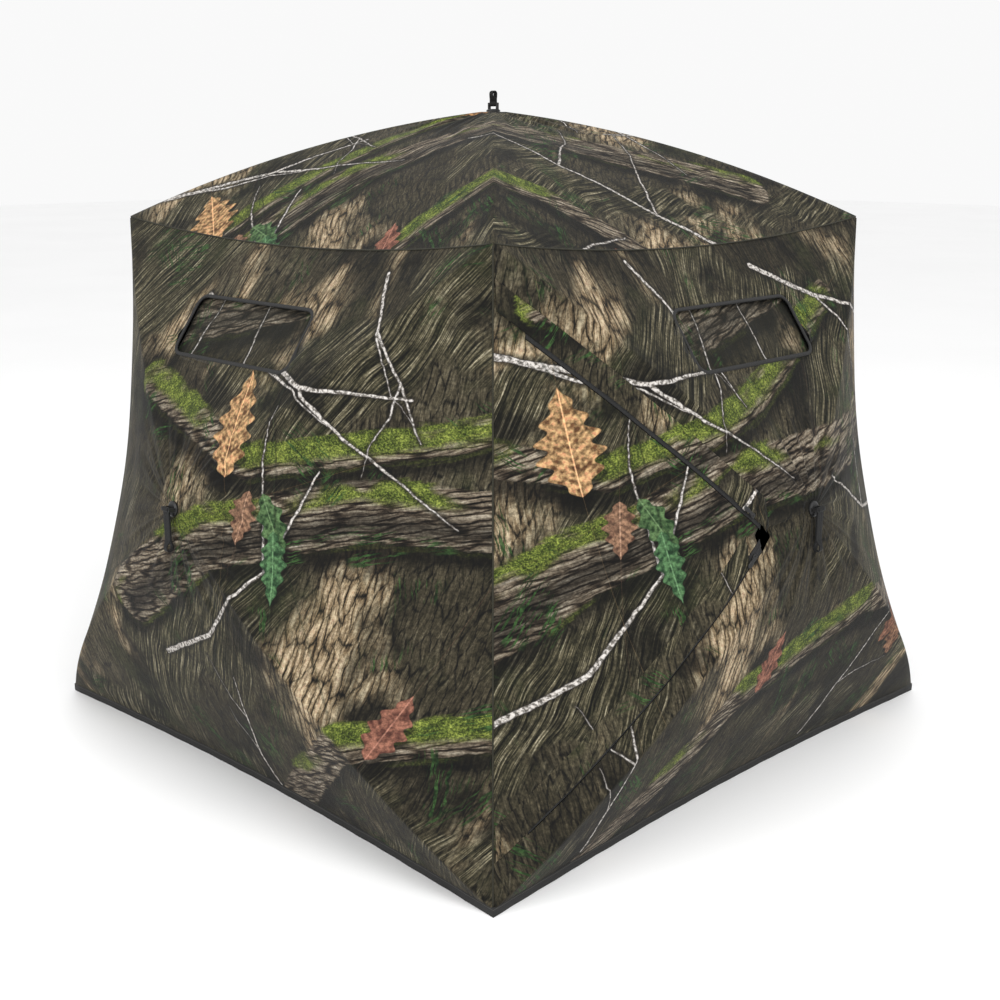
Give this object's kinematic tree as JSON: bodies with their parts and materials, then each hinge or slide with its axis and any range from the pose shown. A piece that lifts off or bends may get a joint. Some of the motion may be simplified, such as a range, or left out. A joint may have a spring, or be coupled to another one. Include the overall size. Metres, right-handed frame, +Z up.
{
  "type": "pop-up ground blind",
  "caption": "Free-standing pop-up hunting blind: fabric walls and roof pushed out by hubs with bowed poles, covered windows and a zipped door.",
  "frame": {"origin": "on the ground, under the roof hub", "axes": "+Z up; -Y faces out of the front wall and +X out of the wall with the door"},
  "size_m": [2.21, 2.21, 1.756],
  "materials": {
    "camo_cloth": "matte woodland print",
    "black_cloth": "matte binding",
    "webbing": "ribbed webbing",
    "hub_plastic": "moulded nylon",
    "fibreglass": "pultruded rod",
    "pin_steel": "satin"
  },
  "bodies": {
    "canopy": {"wall_front": "camo_cloth", "wall_right": "camo_cloth", "wall_back": "camo_cloth", "wall_left": "camo_cloth", "roof": "camo_cloth", "hem": "black_cloth", "corner_pockets_top": "webbing", "corner_pockets_bottom": "webbing"},
    "hub_front": {"hub_front": "hub_plastic", "hub_pins_front": "pin_steel", "hub_cap_front": "hub_plastic"},
    "hub_right": {"hub_right": "hub_plastic", "hub_pins_right": "pin_steel", "hub_cap_right": "hub_plastic"},
    "hub_back": {"hub_back": "hub_plastic", "hub_pins_back": "pin_steel", "hub_cap_back": "hub_plastic"},
    "hub_left": {"hub_left": "hub_plastic", "hub_pins_left": "pin_steel", "hub_cap_left": "hub_plastic"},
    "hub_roof": {"hub_roof": "hub_plastic", "hub_pins_roof": "pin_steel", "hub_cap_roof": "hub_plastic"},
    "pole_front_upper_left": {"pole_front_upper_left": "fibreglass"},
    "pole_front_upper_right": {"pole_front_upper_right": "fibreglass"},
    "pole_front_lower_right": {"pole_front_lower_right": "fibreglass"},
    "pole_front_lower_left": {"pole_front_lower_left": "fibreglass"},
    "pole_right_upper_left": {"pole_right_upper_left": "fibreglass"},
    "pole_right_upper_right": {"pole_right_upper_right": "fibreglass"},
    "pole_right_lower_right": {"pole_right_lower_right": "fibreglass"},
    "pole_right_lower_left": {"pole_right_lower_left": "fibreglass"},
    "pole_back_upper_left": {"pole_back_upper_left": "fibreglass"},
    "pole_back_upper_right": {"pole_back_upper_right": "fibreglass"},
    "pole_back_lower_right": {"pole_back_lower_right": "fibreglass"},
    "pole_back_lower_left": {"pole_back_lower_left": "fibreglass"},
    "pole_left_upper_left": {"pole_left_upper_left": "fibreglass"},
    "pole_left_upper_right": {"pole_left_upper_right": "fibreglass"},
    "pole_left_lower_right": {"pole_left_lower_right": "fibreglass"},
    "pole_left_lower_left": {"pole_left_lower_left": "fibreglass"},
    "pole_roof_front_left": {"pole_roof_front_left": "fibreglass"},
    "pole_roof_front_right": {"pole_roof_front_right": "fibreglass"},
    "pole_roof_back_right": {"pole_roof_back_right": "fibreglass"},
    "pole_roof_back_left": {"pole_roof_back_left": "fibreglass"},
    "pull_strap_front": {"pull_strap_front": "webbing"},
    "pull_strap_right": {"pull_strap_right": "webbing"},
    "pull_strap_back": {"pull_strap_back": "webbing"},
    "pull_strap_left": {"pull_strap_left": "webbing"},
    "pull_strap_roof": {"pull_strap_roof": "webbing"},
    "window_front": {"window_frame_front": "black_cloth"},
    "window_cover_front": {"window_cover_front": "camo_cloth"},
    "window_right": {"window_frame_right": "black_cloth"},
    "window_cover_right": {"window_cover_right": "camo_cloth"},
    "window_back": {"window_frame_back": "black_cloth"},
    "window_cover_back": {"window_cover_back": "camo_cloth"},
    "window_left": {"window_frame_left": "black_cloth"},
    "window_cover_left": {"window_cover_left": "camo_cloth"},
    "door_frame": {"door_zipper_tape": "black_cloth"},
    "door": {"door_panel": "camo_cloth"},
    "zipper_slider_upper": {"zipper_slider_upper": "hub_plastic"},
    "zipper_slider_lower": {"zipper_slider_lower": "hub_plastic"}
  },
  "joints": [
    {"name": "pop_front", "type": "slide", "parent": "canopy", "child": "hub_front", "axis": [0, -0.9915, 0.1301], "range_m": [-0.5448, 0], "deforming": ["wall_front", "corner_pockets_bottom"]},
    {"name": "pop_right", "type": "slide", "parent": "canopy", "child": "hub_right", "axis": [0.9915, 0, 0.1301], "range_m": [-0.5448, 0], "deforming": ["wall_right"]},
    {"name": "pop_back", "type": "slide", "parent": "canopy", "child": "hub_back", "axis": [0, 0.9915, 0.1301], "range_m": [-0.5448, 0], "deforming": ["wall_back"]},
    {"name": "pop_left", "type": "slide", "parent": "canopy", "child": "hub_left", "axis": [-0.9915, 0, 0.1301], "range_m": [-0.5448, 0], "deforming": ["wall_left"]},
    {"name": "pop_roof", "type": "slide", "parent": "canopy", "child": "hub_roof", "axis": [0, 0, 1], "range_m": [-0.56, 0], "deforming": ["roof", "corner_pockets_top"]},
    {"name": "swing_pole_front_upper_left", "type": "hinge", "parent": "hub_front", "child": "pole_front_upper_left", "pos_m": [-0.01736, -1.05995, 0.79274], "axis": [0.6904, 0.0941, 0.7173], "range_deg": [0, 31.9]},
    {"name": "swing_pole_front_upper_right", "type": "hinge", "parent": "hub_front", "child": "pole_front_upper_right", "pos_m": [0.01736, -1.05995, 0.79274], "axis": [0.6904, -0.0941, -0.7173], "range_deg": [0, 31.9]},
    {"name": "swing_pole_front_lower_right", "type": "hinge", "parent": "hub_front", "child": "pole_front_lower_right", "pos_m": [0.01863, -1.06408, 0.76131], "axis": [-0.6303, -0.101, -0.7697], "range_deg": [0, 27.5]},
    {"name": "swing_pole_front_lower_left", "type": "hinge", "parent": "hub_front", "child": "pole_front_lower_left", "pos_m": [-0.01863, -1.06408, 0.76131], "axis": [-0.6303, 0.101, 0.7697], "range_deg": [0, 27.5]},
    {"name": "swing_pole_right_upper_left", "type": "hinge", "parent": "hub_right", "child": "pole_right_upper_left", "pos_m": [1.05995, -0.01736, 0.79274], "axis": [-0.0941, 0.6904, 0.7173], "range_deg": [0, 31.9]},
    {"name": "swing_pole_right_upper_right", "type": "hinge", "parent": "hub_right", "child": "pole_right_upper_right", "pos_m": [1.05995, 0.01736, 0.79274], "axis": [0.0941, 0.6904, -0.7173], "range_deg": [0, 31.9]},
    {"name": "swing_pole_right_lower_right", "type": "hinge", "parent": "hub_right", "child": "pole_right_lower_right", "pos_m": [1.06408, 0.01863, 0.76131], "axis": [0.101, -0.6303, -0.7697], "range_deg": [0, 27.5]},
    {"name": "swing_pole_right_lower_left", "type": "hinge", "parent": "hub_right", "child": "pole_right_lower_left", "pos_m": [1.06408, -0.01863, 0.76131], "axis": [-0.101, -0.6303, 0.7697], "range_deg": [0, 27.5]},
    {"name": "swing_pole_back_upper_left", "type": "hinge", "parent": "hub_back", "child": "pole_back_upper_left", "pos_m": [0.01736, 1.05995, 0.79274], "axis": [-0.6904, -0.0941, 0.7173], "range_deg": [0, 31.9]},
    {"name": "swing_pole_back_upper_right", "type": "hinge", "parent": "hub_back", "child": "pole_back_upper_right", "pos_m": [-0.01736, 1.05995, 0.79274], "axis": [-0.6904, 0.0941, -0.7173], "range_deg": [0, 31.9]},
    {"name": "swing_pole_back_lower_right", "type": "hinge", "parent": "hub_back", "child": "pole_back_lower_right", "pos_m": [-0.01863, 1.06408, 0.76131], "axis": [0.6303, 0.101, -0.7697], "range_deg": [0, 27.5]},
    {"name": "swing_pole_back_lower_left", "type": "hinge", "parent": "hub_back", "child": "pole_back_lower_left", "pos_m": [0.01863, 1.06408, 0.76131], "axis": [0.6303, -0.101, 0.7697], "range_deg": [0, 27.5]},
    {"name": "swing_pole_left_upper_left", "type": "hinge", "parent": "hub_left", "child": "pole_left_upper_left", "pos_m": [-1.05995, 0.01736, 0.79274], "axis": [0.0941, -0.6904, 0.7173], "range_deg": [0, 31.9]},
    {"name": "swing_pole_left_upper_right", "type": "hinge", "parent": "hub_left", "child": "pole_left_upper_right", "pos_m": [-1.05995, -0.01736, 0.79274], "axis": [-0.0941, -0.6904, -0.7173], "range_deg": [0, 31.9]},
    {"name": "swing_pole_left_lower_right", "type": "hinge", "parent": "hub_left", "child": "pole_left_lower_right", "pos_m": [-1.06408, -0.01863, 0.76131], "axis": [-0.101, 0.6303, -0.7697], "range_deg": [0, 27.5]},
    {"name": "swing_pole_left_lower_left", "type": "hinge", "parent": "hub_left", "child": "pole_left_lower_left", "pos_m": [-1.06408, 0.01863, 0.76131], "axis": [0.101, 0.6303, 0.7697], "range_deg": [0, 27.5]},
    {"name": "swing_pole_roof_front_left", "type": "hinge", "parent": "hub_roof", "child": "pole_roof_front_left", "pos_m": [-0.01697, -0.01697, 1.687], "axis": [-0.7071, 0.7071, 0], "range_deg": [0, 32.1]},
    {"name": "swing_pole_roof_front_right", "type": "hinge", "parent": "hub_roof", "child": "pole_roof_front_right", "pos_m": [0.01697, -0.01697, 1.687], "axis": [-0.7071, -0.7071, 0], "range_deg": [0, 32.1]},
    {"name": "swing_pole_roof_back_right", "type": "hinge", "parent": "hub_roof", "child": "pole_roof_back_right", "pos_m": [0.01697, 0.01697, 1.687], "axis": [0.7071, -0.7071, 0], "range_deg": [0, 32.1]},
    {"name": "swing_pole_roof_back_left", "type": "hinge", "parent": "hub_roof", "child": "pole_roof_back_left", "pos_m": [-0.01697, 0.01697, 1.687], "axis": [0.7071, 0.7071, 0], "range_deg": [0, 32.1]},
    {"name": "swing_pull_strap_front", "type": "hinge", "parent": "hub_front", "child": "pull_strap_front", "pos_m": [0, -1.09483, 0.7806], "axis": [-1, 0, 0], "range_deg": [0, 41]},
    {"name": "swing_pull_strap_right", "type": "hinge", "parent": "hub_right", "child": "pull_strap_right", "pos_m": [1.09483, 0, 0.7806], "axis": [0, -1, 0], "range_deg": [0, 41]},
    {"name": "swing_pull_strap_back", "type": "hinge", "parent": "hub_back", "child": "pull_strap_back", "pos_m": [0, 1.09483, 0.7806], "axis": [1, 0, 0], "range_deg": [0, 41]},
    {"name": "swing_pull_strap_left", "type": "hinge", "parent": "hub_left", "child": "pull_strap_left", "pos_m": [-1.09483, 0, 0.7806], "axis": [0, 1, 0], "range_deg": [0, 41]},
    {"name": "swing_pull_strap_roof", "type": "hinge", "parent": "hub_roof", "child": "pull_strap_roof", "pos_m": [0, 0, 1.72], "axis": [1, 0, 0], "range_deg": [-60, 60], "stiffness_Nm_per_rad": 0.02},
    {"name": "tilt_window_front", "type": "hinge", "parent": "canopy", "child": "window_front", "pos_m": [0, -0.73141, 1.38422], "axis": [1, 0, 0], "range_deg": [0, 48.9]},
    {"name": "open_window_cover_front", "type": "hinge", "parent": "window_front", "child": "window_cover_front", "pos_m": [0, -0.9046, 1.09484], "axis": [-1, 0, 0], "range_deg": [0, 150]},
    {"name": "tilt_window_right", "type": "hinge", "parent": "canopy", "child": "window_right", "pos_m": [0.73141, 0, 1.38422], "axis": [0, 1, 0], "range_deg": [0, 48.9]},
    {"name": "open_window_cover_right", "type": "hinge", "parent": "window_right", "child": "window_cover_right", "pos_m": [0.9046, 0, 1.09484], "axis": [0, -1, 0], "range_deg": [0, 150]},
    {"name": "tilt_window_back", "type": "hinge", "parent": "canopy", "child": "window_back", "pos_m": [0, 0.73141, 1.38422], "axis": [-1, 0, 0], "range_deg": [0, 48.9]},
    {"name": "open_window_cover_back", "type": "hinge", "parent": "window_back", "child": "window_cover_back", "pos_m": [0, 0.9046, 1.09484], "axis": [1, 0, 0], "range_deg": [0, 150]},
    {"name": "tilt_window_left", "type": "hinge", "parent": "canopy", "child": "window_left", "pos_m": [-0.73141, 0, 1.38422], "axis": [0, -1, 0], "range_deg": [0, 48.9]},
    {"name": "open_window_cover_left", "type": "hinge", "parent": "window_left", "child": "window_cover_left", "pos_m": [-0.9046, 0, 1.09484], "axis": [0, 1, 0], "range_deg": [0, 150]},
    {"name": "tilt_door_frame", "type": "hinge", "parent": "canopy", "child": "door_frame", "pos_m": [0.8302, -0.78633, 0.7], "axis": [-0.1359, 0.1264, 0.9826], "range_deg": [0, 40.5]},
    {"name": "open_door", "type": "hinge", "parent": "door_frame", "child": "door", "pos_m": [0.90443, -0.79233, 0.19338], "axis": [0.1373, -0.1272, -0.9823], "range_deg": [0, 110]},
    {"name": "slide_zipper_upper", "type": "hinge", "parent": "door_frame", "child": "zipper_slider_upper", "pos_m": [-3.69211, -0.82724, -2.31892], "axis": [0.4351, -0.7418, -0.5104], "range_deg": [0, 6.25]},
    {"name": "slide_zipper_lower", "type": "hinge", "parent": "door_frame", "child": "zipper_slider_lower", "pos_m": [-1.74788, -0.08866, 0.76055], "axis": [0.0112, 0.6606, -0.7506], "range_deg": [0, 14.57]}
  ],
  "couplings": [
    {"joint": "swing_pole_front_upper_left", "follows": "pop_front", "rad_per_m": -1.0074},
    {"joint": "swing_pole_front_upper_right", "follows": "pop_front", "rad_per_m": -1.0074},
    {"joint": "swing_pole_front_lower_right", "follows": "pop_front", "rad_per_m": -0.86466},
    {"joint": "swing_pole_front_lower_left", "follows": "pop_front", "rad_per_m": -0.86466},
    {"joint": "swing_pole_right_upper_left", "follows": "pop_right", "rad_per_m": -1.0074},
    {"joint": "swing_pole_right_upper_right", "follows": "pop_right", "rad_per_m": -1.0074},
    {"joint": "swing_pole_right_lower_right", "follows": "pop_right", "rad_per_m": -0.86466},
    {"joint": "swing_pole_right_lower_left", "follows": "pop_right", "rad_per_m": -0.86466},
    {"joint": "swing_pole_back_upper_left", "follows": "pop_back", "rad_per_m": -1.0074},
    {"joint": "swing_pole_back_upper_right", "follows": "pop_back", "rad_per_m": -1.0074},
    {"joint": "swing_pole_back_lower_right", "follows": "pop_back", "rad_per_m": -0.86466},
    {"joint": "swing_pole_back_lower_left", "follows": "pop_back", "rad_per_m": -0.86466},
    {"joint": "swing_pole_left_upper_left", "follows": "pop_left", "rad_per_m": -1.0074},
    {"joint": "swing_pole_left_upper_right", "follows": "pop_left", "rad_per_m": -1.0074},
    {"joint": "swing_pole_left_lower_right", "follows": "pop_left", "rad_per_m": -0.86466},
    {"joint": "swing_pole_left_lower_left", "follows": "pop_left", "rad_per_m": -0.86466},
    {"joint": "swing_pole_roof_front_left", "follows": "pop_roof", "rad_per_m": -0.98518},
    {"joint": "swing_pole_roof_front_right", "follows": "pop_roof", "rad_per_m": -0.98518},
    {"joint": "swing_pole_roof_back_right", "follows": "pop_roof", "rad_per_m": -0.98518},
    {"joint": "swing_pole_roof_back_left", "follows": "pop_roof", "rad_per_m": -0.98518},
    {"joint": "swing_pull_strap_front", "follows": "pop_front", "rad_per_m": -1.2814},
    {"joint": "swing_pull_strap_right", "follows": "pop_right", "rad_per_m": -1.2814},
    {"joint": "swing_pull_strap_back", "follows": "pop_back", "rad_per_m": -1.2814},
    {"joint": "swing_pull_strap_left", "follows": "pop_left", "rad_per_m": -1.2814},
    {"joint": "tilt_window_front", "follows": "pop_front", "rad_per_m": -1.5494},
    {"joint": "tilt_window_right", "follows": "pop_right", "rad_per_m": -1.5494},
    {"joint": "tilt_window_back", "follows": "pop_back", "rad_per_m": -1.5494},
    {"joint": "tilt_window_left", "follows": "pop_left", "rad_per_m": -1.5494},
    {"joint": "tilt_door_frame", "follows": "pop_right", "rad_per_m": -1.2824}
  ]
}
